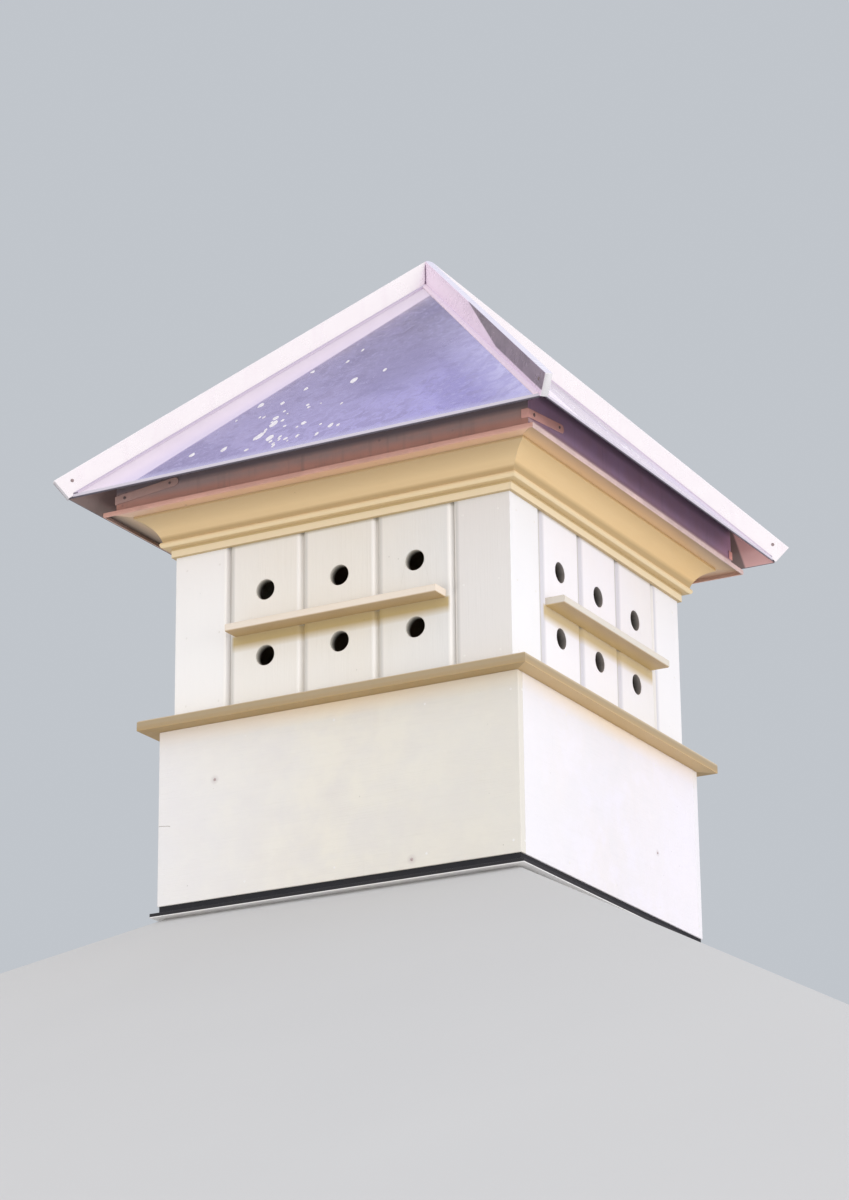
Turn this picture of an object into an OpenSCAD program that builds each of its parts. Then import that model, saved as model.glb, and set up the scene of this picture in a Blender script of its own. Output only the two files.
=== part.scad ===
// Square roof cupola with nest-box faces, a flared crown moulding and a hipped copper roof.
// The origin is the centre of the footprint, at the height of the foot; the front looks along -Y.

/* [Base] */
// Width of the square base, outside its panels
base_w = 760; // [600:5:1000]
// Height of the base panels
base_h = 337; // [240:1:500]
// Thickness of the boards of the base, the nest walls and the skirt
board_t = 18; // [12:1:25]
// Height of the dark sealing strip below the base panels
strip_h = 14; // [8:1:25]
// How far the sealing strip stands back from the panels
strip_inset = 3; // [1:1:8]
// Thickness of the foot flashing
flashing_t = 8; // [2:0.5:12]
// How far the foot flashing runs out past the panels
flashing_out = 10; // [4:1:20]

/* [Ledge] */
// How far the ledge overhangs the base panels
ledge_out = 31; // [10:1:50]
// Thickness of the ledge boards
ledge_t = 20; // [12:1:30]
// Rounding on the ledge's outer edge
ledge_round = 5; // [2:0.5:6]

/* [Nest box] */
// How far the nest walls stand back from the base panels
nest_inset = 20; // [5:1:60]
// Height of the nest walls that shows between ledge and crown
nest_h = 331; // [240:1:450]
// Width of each corner board
corner_w = 119; // [70:1:140]
// Columns of nests on each face
columns = 3; // [2:1:4]
// Diameter of the entrance holes
hole_d = 40; // [25:1:54]
// Height of the lower holes above the ledge
low_hole_z = 103; // [60:1:120]
// Height of the upper holes above the lower ones
row_pitch = 130; // [90:1:160]
// Depth and half width of the V-grooves between the boards
groove = 7; // [2:0.5:8]
// Thickness of the nest floor and of the shelf between the rows
shelf_t = 12; // [9:1:18]

/* [Perch] */
// Height of the perch board's top above the lower holes' centres
perch_rise = 61; // [35:1:70]
// Thickness of the perch boards
perch_t = 15; // [8:1:20]
// How far the perch boards stand out
perch_out = 40; // [20:1:60]
// How far each perch stops short of the corner boards
perch_short = 16; // [0:1:30]
// Rounding on the perches' outer edges
perch_round = 3; // [1:0.5:5]

/* [Crown moulding] */
// Height of the crown moulding
crown_h = 79; // [62:1:120]
// How far the crown flares out past the nest walls
crown_out = 60; // [45:1:90]
// How far the crown's bottom fillet stands out
fillet_out = 7; // [4:1:12]
// Height of the crown's bottom fillet
fillet_h = 14; // [8:1:18]
// How far the crown's bead stands out
bead_out = 24; // [16:1:30]
// Radius of the crown's bead
bead_r = 6; // [4:0.5:8]
// Gap between fillet and bead, and step between bead and cove
quirk = 4; // [2:0.5:5]
// Height of the flat edge at the crown's top
crown_lip = 7; // [4:1:12]

/* [Roof] */
// How far the copper skirt stands out past the crown
skirt_out = 24; // [15:1:50]
// Thickness of the copper folds at the skirt's foot
skirt_t = 3; // [2:0.5:4]
// How far the skirt's drip edge turns out
drip_out = 18; // [8:0.5:24]
// Height of the drip edge's turned-down lip
drip_h = 9; // [6:1:14]
// Length of the copper straps that fold round the skirt's corners
lap_len = 141; // [60:1:180]
// Height of the straps
lap_h = 17; // [10:1:20]
// Height of the straps above the drip edge, at the corner
lap_gap = 19; // [10:1:22]
// How much the straps rise towards their ends
lap_rise = 14; // [0:1:14]
// How far each strap reaches over its own side of the skirt
lap_hold = 13; // [6:1:20]
// Thickness of the straps
lap_t = 2; // [1:0.5:3]
// Thickness of the board that closes the nest box
ceiling_t = 19; // [12:1:25]
// How far the eaves overhang the skirt
eave_out = 66; // [56:1:90]
// Height of the eave's lower edge above the crown's top
eave_rise = 22; // [18:1:45]
// Slope of the roof faces in degrees
roof_slope = 46; // [38:0.5:55]
// Thickness of the roof panels
roof_t = 6; // [4:0.5:14]

/* [Hip caps] */
// Width of the raised hip caps
cap_w = 15; // [8:1:40]
// Upright height of the caps above the roof panels
cap_h = 46; // [20:1:60]
// How far the caps run out past the corners of the eaves, along each side
cap_end_out = 21; // [10:1:40]
// Width of the folded foot on each side of a cap, measured in plan
foot_w = 8; // [4:1:20]
// Thickness of the folded foot
foot_t = 2; // [1:0.5:4]

/* [Hidden] */
$fn = 64;
SIDES = ["front", "right", "back", "left"];
CORNERS = ["front_right", "back_right", "back_left", "front_left"];
SIDE_PARTS = [
    "foot_strip", "base_panel", "ledge", "nest_wall", "perch", "crown", "skirt", "roof_panel"
];
CORNER_PARTS = ["corner_board", "hip_cap"];

base_half = base_w / 2;
nest_half = base_half - nest_inset;
crown_half = nest_half + crown_out;
skirt_half = crown_half + skirt_out;
eave_half = skirt_half + eave_out;
reach = 2 * eave_half;

strip_z = flashing_t;
panel_z = strip_z + strip_h;
ledge_z = panel_z + base_h;
nest_z = ledge_z + ledge_t;
crown_z = nest_z + nest_h;
ceiling_z = crown_z + crown_h;
eave_z = ceiling_z + eave_rise;
low_row_z = nest_z + low_hole_z;
high_row_z = low_row_z + row_pitch;
perch_top_z = low_row_z + perch_rise;

field_half = nest_half - corner_w;
column_w = 2 * field_half / columns;
roof_rise = tan(roof_slope);
roof_up = roof_t / cos(roof_slope);
over = 1;

// Height of the roof panels' underside at a distance from the axis, measured square to a side
function under_z(d) = eave_z + (eave_half - d) * roof_rise;
// Height of the roof panels' top face at the same place
function top_z(d) = under_z(d) + roof_up;

// Turns a shape made for the front to side i
module to_side(i) {
    rotate([0, 0, 90 * i]) children();
}

// The part of space that belongs to the front, bounded by the planes through the corners
module front_sector() {
    linear_extrude(height = 2 * reach)
        polygon([[0, 0], [-reach, -reach], [reach, -reach]]);
}

// A length along the front with mitred ends, from an outline of distance out and height
module mitred_length() {
    intersection() {
        translate([-reach, 0, 0])
            rotate([90, 0, 90])
                linear_extrude(height = 2 * reach)
                    mirror([1, 0]) children();
        front_sector();
    }
}

// Foot flashing: a flat frame that the base stands on
module foot_flashing() {
    outer = base_half + flashing_out;
    inner = base_half - board_t;
    color("#e9e4e0")
        linear_extrude(height = flashing_t)
            difference() {
                square(2 * outer, center = true);
                square(2 * inner, center = true);
            }
}

// Dark sealing strip below each base panel
module foot_strip(i) {
    inner = base_half - board_t;
    color("#22232b")
        to_side(i) mitred_length()
            translate([inner, strip_z])
                square([board_t - strip_inset, strip_h]);
}

// Base panels: front and back run through, right and left fit between them
module base_panel(i) {
    half_len = i % 2 == 0 ? base_half : base_half - board_t;
    color(i % 2 == 0 ? "#e4ddcb" : "#f6f3f2")
        to_side(i)
            translate([-half_len, -base_half, panel_z])
                cube([2 * half_len, board_t, base_h]);
}

// Ledge boards with rounded outer edges, mitred at the corners
module ledge(i) {
    inner = nest_half - 2 * board_t;
    outer = base_half + ledge_out;
    color("#d9b981")
        to_side(i) mitred_length()
            translate([0, ledge_z])
                union() {
                    translate([inner, 0])
                        square([outer - inner - ledge_round, ledge_t]);
                    translate([outer - 2 * ledge_round, 0])
                        square([2 * ledge_round, ledge_t - ledge_round]);
                    translate([outer - ledge_round, ledge_t - ledge_round])
                        circle(r = ledge_round);
                }
}

// Floor of the nests, let into the frame of the ledge boards
module nest_floor() {
    half = nest_half - 2 * board_t;
    color("#c9b48c")
        translate([-half, -half, nest_z - shelf_t])
            cube([2 * half, 2 * half, shelf_t]);
}

// Shelf between the two rows of nests, at the height of the perches
module nest_shelf() {
    half = nest_half - board_t;
    color("#c9b48c")
        translate([-half, -half, perch_top_z - shelf_t])
            cube([2 * half, 2 * half, shelf_t]);
}

// V-groove cut, upright, centred at a place along the front
module groove_cut(x) {
    translate([x, -nest_half, nest_z - over])
        rotate([0, 0, 45])
            translate([-groove / sqrt(2), -groove / sqrt(2), 0])
                cube([groove * sqrt(2), groove * sqrt(2), nest_h + crown_h + 2 * over]);
}

// Corner boards: two boards joined at the corner, as high as the walls
module corner_board(i) {
    height = ceiling_z - nest_z;
    color("#efebe4")
        to_side(i)
            difference() {
                translate([0, 0, nest_z])
                    linear_extrude(height = height)
                        difference() {
                            translate([field_half, -nest_half])
                                square([corner_w, corner_w]);
                            translate([field_half - over, -nest_half + board_t])
                                square([corner_w - board_t + over, corner_w]);
                        }
                groove_cut(field_half);
                to_side(1) groove_cut(-field_half);
            }
}

// Nest wall of one side: grooved boards with two rows of entrance holes
module nest_wall(i) {
    color("#efeae0")
        to_side(i)
            difference() {
                translate([-field_half, -nest_half, nest_z])
                    cube([2 * field_half, board_t, ceiling_z - nest_z]);
                for (c = [0 : columns]) {
                    groove_cut(-field_half + c * column_w);
                }
                for (c = [0 : columns - 1], z = [low_row_z, high_row_z]) {
                    translate([-field_half + (c + 0.5) * column_w, -nest_half - over, z])
                        rotate([-90, 0, 0])
                            cylinder(d = hole_d, h = board_t + 2 * over);
                }
            }
}

// Perch board of one side, fixed flat against the wall between the rows
module perch(i) {
    half_len = field_half - perch_short;
    color("#e6d3a6")
        to_side(i)
            translate([-half_len, 0, perch_top_z - perch_t])
                rotate([90, 0, 90])
                    linear_extrude(height = 2 * half_len)
                        mirror([1, 0])
                            translate([nest_half, 0]) {
                                square([perch_out - perch_round, perch_t]);
                                translate([0, perch_round])
                                    square([perch_out, perch_t - 2 * perch_round]);
                                for (z = [perch_round, perch_t - perch_round]) {
                                    translate([perch_out - perch_round, z])
                                        circle(r = perch_round);
                                }
                            }
}

// Outline of the crown moulding from the wall out: fillet, quirk, bead, cove and lip
module crown_outline() {
    bead_z = fillet_h + quirk + bead_r;
    bead_top = bead_z + bead_r;
    cove_z = bead_top + quirk / 2;
    cove_start = bead_out - quirk;
    lip_z = crown_h - crown_lip;
    cove_run = crown_out - cove_start;
    cove_rise = lip_z - cove_z;
    chord = sqrt(cove_run * cove_run + cove_rise * cove_rise);
    cove_r = 1.1 * chord;
    sag_arm = sqrt(cove_r * cove_r - chord * chord / 4);
    middle = [cove_start + cove_run / 2, cove_z + cove_rise / 2];
    centre = middle + sag_arm / chord * [cove_rise, -cove_run];
    translate([nest_half, crown_z]) {
        square([fillet_out, crown_h]);
        translate([0, bead_z - bead_r]) square([bead_out - bead_r, 2 * bead_r]);
        translate([bead_out - bead_r, bead_z]) circle(r = bead_r);
        difference() {
            polygon([
                [0, bead_z], [cove_start, bead_z], [cove_start, cove_z],
                [crown_out, lip_z], [crown_out, crown_h], [0, crown_h]
            ]);
            translate(centre) circle(r = cove_r, $fn = 128);
        }
    }
}

// Crown moulding of one side, mitred at the corners
module crown(i) {
    color("#e0bd79")
        to_side(i) mitred_length() crown_outline();
}

// Board that closes the nest box, inside the skirt
module ceiling_board() {
    half = skirt_half - board_t;
    color("#c9b48c")
        translate([-half, -half, ceiling_z])
            cube([2 * half, 2 * half, ceiling_t]);
}

// Skirt of one side: copper-clad board up to the roof panels, return to the crown and drip lip
module skirt_board() {
    inner = skirt_half - board_t;
    drip_half = skirt_half + drip_out;
    mitred_length()
        polygon([
            [crown_half, ceiling_z - skirt_t],
            [drip_half - skirt_t, ceiling_z - skirt_t],
            [drip_half - skirt_t, ceiling_z - drip_h],
            [drip_half, ceiling_z - drip_h],
            [drip_half, ceiling_z],
            [skirt_half, ceiling_z],
            [skirt_half, under_z(skirt_half)],
            [inner, under_z(inner)],
            [inner, ceiling_z],
            [crown_half, ceiling_z]
        ]);
}

// Copper strap at a skirt's right end: a short piece on its own side and a rounded tongue past it
module corner_lap() {
    low = ceiling_z + lap_gap;
    start = -skirt_half - lap_t;
    r = lap_h / 2;
    end = [-skirt_half + lap_len - r, low + lap_rise + r];
    translate([skirt_half - lap_hold, start, low])
        cube([lap_hold + lap_t, lap_t, lap_h]);
    translate([skirt_half, 0, 0])
        rotate([90, 0, 90])
            linear_extrude(height = lap_t)
                polygon(concat(
                    [[start, low + lap_h], [start, low], [start + lap_t, low]],
                    [for (a = [-90 : 30 : 90]) end + r * [cos(a), sin(a)]],
                    [[start + lap_t, low + lap_h]]
                ));
}

// Skirt of one side with its strap
module skirt(i) {
    color("#6e4a4c")
        to_side(i) {
            skirt_board();
            corner_lap();
        }
}

// Roof panel of one side, mitred along the hips
module roof_panel(i) {
    color("#9a90c4")
        to_side(i) mitred_length()
            polygon([
                [0, under_z(0)], [eave_half, under_z(eave_half)],
                [eave_half, top_z(eave_half)], [0, top_z(0)]
            ]);
}

// Everything under the roof panels' top faces and inside the eaves, over the front
module under_roof() {
    mitred_length()
        polygon([[0, 0], [eave_half, 0], [eave_half, top_z(eave_half)], [0, top_z(0)]]);
}

// Folded foot of the hip caps, over the front: a thin layer on the roof panel
module foot_layer() {
    foot_up = foot_t / cos(roof_slope);
    mitred_length()
        polygon([
            [0, top_z(0)], [eave_half, top_z(eave_half)],
            [eave_half, top_z(eave_half) + foot_up], [0, top_z(0) + foot_up]
        ]);
}

// The quarter of space round the front right corner, up to the planes through the roof's middle
module front_right_quarter() {
    translate([0, -reach, 0]) cube([reach, reach, 2 * reach]);
}

// An upright slab along the front right diagonal, from an outline of distance and height
module diagonal_slab(width) {
    rotate([0, 0, -45])
        rotate([90, 0, 0])
            linear_extrude(height = width, center = true) children();
}

// Raised part of a hip cap: its foot follows the hip and its end is cut from eave to tip
module cap_body() {
    tip = eave_half + cap_end_out;
    diagonal_slab(cap_w)
        polygon([
            [0, under_z(0)], [eave_half * sqrt(2), under_z(eave_half)],
            [tip * sqrt(2), top_z(tip) + cap_h], [0, top_z(0) + cap_h]
        ]);
}

// Hip cap of one corner, cut upright at the peak to meet the other three
module hip_cap(i) {
    color("#f1dfe2")
        to_side(i)
            intersection() {
                union() {
                    difference() {
                        cap_body();
                        for (side = [0, 1]) {
                            to_side(side) under_roof();
                        }
                    }
                    intersection() {
                        for (side = [0, 1]) {
                            to_side(side) foot_layer();
                        }
                        diagonal_slab(cap_w + 2 * foot_w) square(2 * reach);
                    }
                }
                front_right_quarter();
            }
}

foot_flashing();
nest_floor();
nest_shelf();
ceiling_board();
for (i = [0 : 3]) {
    foot_strip(i);
    base_panel(i);
    ledge(i);
    corner_board(i);
    nest_wall(i);
    perch(i);
    crown(i);
    skirt(i);
    roof_panel(i);
    hip_cap(i);
}
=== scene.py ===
"""Looks of the roof cupola: camera, light, materials and the small pieces that the CAD model leaves out.

Lengths are in metres, in the frame's own axes. A side is 0 front, 1 right, 2 back or 3 left, and a corner is named
by the sides that it joins.
"""

import math
import random

import bmesh
import bpy
from mathutils import Matrix, Vector


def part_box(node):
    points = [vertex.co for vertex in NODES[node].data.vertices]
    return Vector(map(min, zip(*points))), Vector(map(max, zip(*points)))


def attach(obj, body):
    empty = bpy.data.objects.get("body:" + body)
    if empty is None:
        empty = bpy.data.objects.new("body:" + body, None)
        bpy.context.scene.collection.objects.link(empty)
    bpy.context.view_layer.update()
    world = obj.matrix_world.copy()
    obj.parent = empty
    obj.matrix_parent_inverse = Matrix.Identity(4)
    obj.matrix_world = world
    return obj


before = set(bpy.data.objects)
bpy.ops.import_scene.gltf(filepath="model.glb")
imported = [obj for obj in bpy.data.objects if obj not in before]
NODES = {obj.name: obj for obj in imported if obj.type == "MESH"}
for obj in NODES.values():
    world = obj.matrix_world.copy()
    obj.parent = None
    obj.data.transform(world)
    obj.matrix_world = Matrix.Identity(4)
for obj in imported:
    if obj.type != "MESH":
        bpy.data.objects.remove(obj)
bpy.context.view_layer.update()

SIDES = ["front", "right", "back", "left"]
CORNERS = ["front_right", "back_right", "back_left", "front_left"]

scene = bpy.context.scene
scene.view_settings.view_transform = "Standard"


# Sizes read from the frame, in metres
def half_of(node, axis):
    low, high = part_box(node)
    return max(-low[axis], high[axis])


BASE = half_of("base_panel_front", 0)
LEDGE_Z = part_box("ledge_front")[0].z
NEST_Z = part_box("ledge_front")[1].z
NEST = half_of("corner_board_front_right", 0)
FIELD = half_of("nest_wall_front", 0)            # the grooved part of a nest wall
PERCH = half_of("perch_front", 0)
PERCH_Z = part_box("perch_front")[0].z
CROWN_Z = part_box("crown_front")[0].z
CEILING_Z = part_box("crown_front")[1].z
CROWN = half_of("crown_front", 0)
HEM = -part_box("skirt_front")[0].y                # the skirt's drip edge
SKIRT = HEM - 0.018                              # the skirt's upright face
EAVE = half_of("roof_panel_front", 0)
EAVE_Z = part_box("roof_panel_front")[0].z
TIP = half_of("hip_cap_front_right", 0)
FLASHING = half_of("foot_flashing", 0)

# Sizes of the CAD model that no box gives
JOINTS = (-FIELD, -FIELD / 3, FIELD / 3, FIELD)  # a nest wall's two grooves and its joints with the corner boards
HOLE_Z = NEST_Z + 0.168                          # midway between the two rows of holes
HOLE_R = 0.0205
HALF_ROW_GAP = 0.065
SHEET_T = 0.006
SLOPE = math.radians(46)
RISE = math.tan(SLOPE)
CAP_W = 0.015
CAP_H = 0.046
ROOF_TOP_Z = EAVE_Z + SHEET_T / math.cos(SLOPE)  # roof surface at the eave
PEAK_Z = ROOF_TOP_Z + EAVE * RISE                # where the four roof surfaces would meet


# ---------------------------------------------------------------- nodes
class Shader:
    """A material or world under construction."""

    def __init__(self, tree):
        self.tree = tree
        self.tree.nodes.clear()
        self.position = None

    def add(self, kind, **values):
        node = self.tree.nodes.new(kind)
        for key, value in values.items():
            setattr(node, key, value)
        return node

    def put(self, value, socket):
        """Links a node's output, or sets a value."""
        if isinstance(value, bpy.types.NodeSocket):
            self.tree.links.new(value, socket)
        elif isinstance(value, (tuple, list)) and len(value) == 3 and len(socket.default_value) == 4:
            socket.default_value = (*value, 1.0)
        else:
            socket.default_value = value

    def place(self):
        """Coordinates of the shared frame, in metres."""
        if self.position is None:
            self.position = self.add("ShaderNodeTexCoord").outputs["Object"]
        return self.position

    def axes(self, vector=None):
        node = self.add("ShaderNodeSeparateXYZ")
        self.put(vector or self.place(), node.inputs[0])
        return node.outputs

    def math(self, operation, a, b=0.0):
        node = self.add("ShaderNodeMath", operation=operation)
        for value, socket in zip((a, b), node.inputs):
            self.put(value, socket)
        return node.outputs[0]

    def minus(self, a, b):
        return self.math("SUBTRACT", a, b)

    def size(self, value):
        """The value without its sign."""
        return self.math("ABSOLUTE", value)

    def far(self, a, b):
        """The length of the slanting side over two others."""
        return self.math("SQRT", self.math("ADD", self.math("MULTIPLY", a, a), self.math("MULTIPLY", b, b)))

    def around(self, side):
        """Places that belong to a side: along it to the right, out from the axis, and up."""
        x, y, z = self.axes()
        back = lambda value: self.math("MULTIPLY", value, -1.0)
        return [(x, back(y), z), (y, x, z), (back(x), y, z), (back(y), back(x), z)][side]

    def near(self, value, centre, half, soft):
        """1 within half of a centre, falling to 0 over the soft width."""
        return self.fit(self.size(self.minus(value, centre)), half, half + soft, 1.0, 0.0)

    def times(self, *values):
        """The product of several masks."""
        result = values[0]
        for value in values[1:]:
            result = self.math("MULTIPLY", result, value)
        return result

    def scaled(self, scale, offset):
        """The place, stretched and shifted for a texture."""
        node = self.add("ShaderNodeMapping")
        self.put(self.place(), node.inputs["Vector"])
        node.inputs["Scale"].default_value = scale
        node.inputs["Location"].default_value = offset
        return node.outputs[0]

    def noise(self, scale, detail, rough, vector=None, distortion=0.0):
        node = self.add("ShaderNodeTexNoise")
        self.put(vector or self.place(), node.inputs["Vector"])
        node.inputs["Scale"].default_value = scale
        node.inputs["Detail"].default_value = detail
        node.inputs["Roughness"].default_value = rough
        node.inputs["Distortion"].default_value = distortion
        return node.outputs["Fac"]

    def cells(self, scale, vector):
        """How far a place is from the nearest of many scattered points."""
        node = self.add("ShaderNodeTexVoronoi")
        self.put(vector, node.inputs["Vector"])
        node.inputs["Scale"].default_value = scale
        return node.outputs["Distance"]

    def fit(self, value, low, high, out_low=0.0, out_high=1.0, smooth=False):
        """Carries low..high over to out_low..out_high, and stops at the ends."""
        node = self.add("ShaderNodeMapRange")
        node.interpolation_type = "SMOOTHSTEP" if smooth else "LINEAR"
        for name, item in (("Value", value), ("From Min", low), ("From Max", high),
                           ("To Min", out_low), ("To Max", out_high)):
            self.put(item, node.inputs[name])
        return node.outputs["Result"]

    def mix(self, factor, a, b):
        """Colour a, turning into b as the factor goes from 0 to 1."""
        node = self.add("ShaderNodeMix", data_type="RGBA")
        node.clamp_factor = True
        self.put(factor, node.inputs[0])
        self.put(a, node.inputs[6])              # the colour sockets, which come after those of other types
        self.put(b, node.inputs[7])
        return node.outputs[2]

    def bump(self, height, distance, strength, normal=None):
        node = self.add("ShaderNodeBump")
        self.put(height, node.inputs["Height"])
        node.inputs["Distance"].default_value = distance
        node.inputs["Strength"].default_value = strength
        if normal is not None:
            self.put(normal, node.inputs["Normal"])
        return node.outputs[0]

    def crevice(self, distance, inside=False):
        """1 in the open, falling to 0 in corners; with inside, the same for outer edges."""
        node = self.add("ShaderNodeAmbientOcclusion", samples=6, inside=inside)
        node.inputs["Distance"].default_value = distance
        return node.outputs["AO"]


class Finish(Shader):
    """A material for pieces, with one Principled shader."""

    def __init__(self, name):
        self.material = bpy.data.materials.new(name)
        self.material.use_nodes = True
        super().__init__(self.material.node_tree)
        self.shader = self.add("ShaderNodeBsdfPrincipled")
        out = self.add("ShaderNodeOutputMaterial")
        self.tree.links.new(self.shader.outputs[0], out.inputs["Surface"])

    def set(self, **values):
        names = {"color": "Base Color", "rough": "Roughness", "metal": "Metallic", "normal": "Normal",
                 "specular": "Specular IOR Level"}
        for key, value in values.items():
            self.put(value, self.shader.inputs[names[key]])
        return self.material


def toned(color, factor):
    """A lighter or darker colour."""
    return tuple(value * factor for value in color)


def grain_scale(along, fine, coarse):
    """Stretches a texture along x, y or z."""
    return tuple(coarse if axis == along else fine for axis in "xyz")


def paint(name, color, dirt, along, seed, rough=0.5, warm=None, streak=0.2, wear=0.25, soil_and_shade=0.35, marks=None):
    """Brushed exterior paint on boards: faint grain, brush marks, runs, grime and painted shade darkening the corners,
    edges rubbed to bare wood, and specks.

    Marks is a function that adds what belongs to one place on the part.
    """
    f = Finish(name)
    shift = (seed * 1.7, seed * 0.9, seed * 2.3)
    here = f.scaled((1, 1, 1), shift)
    grain = f.noise(1.0, 4, 0.6, f.scaled(grain_scale(along, 420, 9), shift), 0.4)
    brush = f.noise(1.0, 2, 0.5, f.scaled(grain_scale(along, 900, 14), shift))
    blotch = f.noise(5.5, 4, 0.62, here)
    cloud = f.noise(1.6, 2, 0.5, f.scaled((1, 1, 1), (seed, 3, 1)))
    runs = f.noise(1.0, 4, 0.7, f.scaled((60, 60, 3.2), shift))
    pores = f.cells(170, f.scaled(grain_scale(along, 1.0, 0.28), shift))
    tint = warm or tuple(c * w for c, w in zip(color, (0.985, 0.955, 0.90)))
    c = f.mix(f.fit(blotch, 0.35, 0.72, 0.0, 0.7), color, tint)
    c = f.mix(f.fit(cloud, 0.42, 0.72, 0.0, 0.35), c, tuple(min(1.0, v * 1.04) for v in color))
    c = f.mix(f.fit(grain, 0.5, 0.8, 0.0, 0.09), c, dirt)
    c = f.mix(f.fit(runs, 0.60, 0.85, 0.0, streak), c, dirt)
    if marks is not None:
        c = marks(f, c)
    # darker in corners by ambient occlusion: grime and painted shade
    soiled_and_shaded = f.times(f.fit(f.crevice(0.022), 0.2, 0.9, soil_and_shade, 0.0), f.fit(blotch, 0.25, 0.6, 0.5, 1.0))
    c = f.mix(soiled_and_shaded, c, dirt)
    edge = f.fit(f.crevice(0.0035, inside=True), 0.55, 0.85, 1.0, 0.0)
    wear_and_lip_highlight = f.times(edge, f.fit(f.noise(38, 4, 0.7, here), 0.5, 0.62, 0.0, wear))
    c = f.mix(wear_and_lip_highlight, c, BARE_WOOD)
    specks = f.fit(f.cells(42, here), 0.03, 0.065, 1.0, 0.0)
    c = f.mix(f.times(specks, f.fit(f.noise(9, 1, 0.5, here), 0.54, 0.62), 0.35), c, toned(dirt, 0.45))
    rough_now = f.fit(blotch, 0.3, 0.75, rough - 0.06, rough + 0.14)
    normal = f.bump(grain, 0.0016, 0.3)
    normal = f.bump(brush, 0.0007, 0.3, normal)
    normal = f.bump(pores, 0.0006, 0.15, normal)
    normal = f.bump(blotch, 0.003, 0.2, normal)
    return f.set(color=c, rough=rough_now, normal=normal, specular=0.35)


def sheet(name, tint, seed, rough, ripple=0.5, spots=0.3, soil_and_shade=0.5, spot_color=(0.10, 0.07, 0.09), grain=0.0002):
    """Sheet metal: a tint by position, drying marks, grime and painted shade darkening the corners, soft waves of the
    sheet, haze and fine scratches.

    Tint is a function that returns the colour and sets f.metal, how metallic each place is.
    """
    f = Finish(name)
    shift = (seed * 3.1, seed * 1.3, seed * 0.7)
    here = f.scaled((1, 1, 1), shift)
    f.big = f.noise(3.4, 4, 0.55, here, 0.5)
    f.small = f.noise(30, 4, 0.6, here, 0.3)
    f.mottle = f.math("ADD", f.math("MULTIPLY", f.big, 0.6), f.math("MULTIPLY", f.small, 0.4))
    f.speckle = f.noise(85, 4, 0.7, here)
    f.streaks = f.noise(1.0, 3, 0.6, f.scaled((46, 46, 5), shift), 0.3)
    c = tint(f)
    drops = f.fit(f.cells(31, here), 0.05, 0.12, spots, 0.0)
    c = f.mix(f.times(drops, f.fit(f.small, 0.42, 0.6)), c, spot_color)
    # darker in corners by ambient occlusion: grime and painted shade
    c = f.mix(f.fit(f.crevice(0.010), 0.3, 0.95, soil_and_shade, 0.0), c, spot_color)
    haze = f.fit(f.noise(9, 4, 0.6, here), 0.5, 0.75)
    r = f.math("ADD", f.fit(f.mottle, 0.35, 0.65, rough, rough + 0.07), f.math("MULTIPLY", haze, 0.10))
    normal = f.bump(f.big, 0.010 * ripple, 0.25)
    normal = f.bump(f.small, 0.0010 * ripple, 0.25, normal)
    normal = f.bump(f.noise(240, 3, 0.6, here), grain, 0.25, normal)
    normal = f.bump(f.noise(1.0, 2, 0.5, f.scaled((500, 500, 40), shift)), 0.0001, 0.25, normal)
    return f.set(color=c, rough=r, metal=f.metal, normal=normal)


# ---------------------------------------------------------------- mesh pieces
def piece(name, mesh_maker, material):
    """Makes an object from a bmesh builder, and lets it ride on the one body."""
    bm = bmesh.new()
    mesh_maker(bm)
    bmesh.ops.recalc_face_normals(bm, faces=bm.faces)
    mesh = bpy.data.meshes.new(name)
    bm.to_mesh(mesh)
    bm.free()
    obj = bpy.data.objects.new(name, mesh)
    scene.collection.objects.link(obj)
    obj.data.materials.append(material)
    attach(obj, "root")


def soften(obj, width):
    """Rounds the edges with modifiers, so that they catch the light."""
    join = obj.modifiers.new("weld", "WELD")
    join.merge_threshold = 1e-5
    round_off = obj.modifiers.new("round", "BEVEL")
    round_off.width = width
    round_off.segments = 2
    round_off.limit_method = "ANGLE"
    round_off.angle_limit = math.radians(40)
    round_off.use_clamp_overlap = True
    round_off.harden_normals = False


def turned(side):
    """The turn from the front to a side."""
    return Matrix.Rotation(math.radians(90 * side), 4, "Z")


def give(node, material, bevel=0.0):
    """Gives a CAD node its material and rounded edges."""
    obj = NODES[node]
    obj.data.materials.clear()
    obj.data.materials.append(material)
    if bevel:
        soften(obj, bevel)


# ---------------------------------------------------------------- camera
# Solved from the photograph: the place, the right, up and back directions, and the focal length and height in pixels
CAMERA_AT = Vector((3.151, -5.7842, -1.6159))
CAMERA_AXES = [(0.8753, 0.48346, -0.01047), (0.16719, -0.28223, 0.94467), (0.45375, -0.82862, -0.32787)]
FOCAL_PX = 3575.0
IMAGE_H = 1200.0
cam_data = bpy.data.cameras.new("camera")
cam_data.sensor_width = 36.0                     # millimetres, on the picture's longer side
cam_data.lens = FOCAL_PX / IMAGE_H * cam_data.sensor_width
cam_data.clip_end = 200.0
camera = bpy.data.objects.new("camera", cam_data)
scene.collection.objects.link(camera)
camera.location = CAMERA_AT
camera.rotation_mode = "QUATERNION"
camera.rotation_quaternion = Matrix(CAMERA_AXES).transposed().to_quaternion()
scene.camera = camera


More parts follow.
